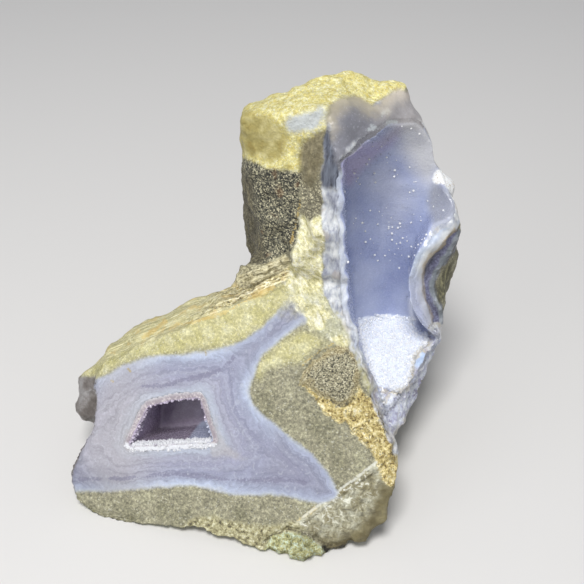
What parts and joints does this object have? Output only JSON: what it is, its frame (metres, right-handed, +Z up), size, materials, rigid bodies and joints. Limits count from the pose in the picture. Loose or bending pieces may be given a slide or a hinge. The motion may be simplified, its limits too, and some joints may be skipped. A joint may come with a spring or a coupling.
{
  "type": "chalcedony specimen",
  "caption": "Natural blue chalcedony in chert: a sawn, banded foot with a small crystal pocket, and an upright with a tall crystal-lined niche.",
  "frame": {"origin": "a point on the flat that the stone rests on, below the foot of the upright", "axes": "+Z up, -Y towards the side that the sawn face looks to, +X to the right of someone who faces the sawn face"},
  "size_m": [0.0531, 0.0414, 0.0534],
  "materials": {
    "chalcedony": "satin",
    "niche_crystals": "sparkling",
    "pocket_crystals": "sparkling"
  },
  "bodies": {
    "root": {"chalcedony_stone": "chalcedony", "niche_druse": "niche_crystals", "pocket_druse": "pocket_crystals"}
  },
  "joints": []
}
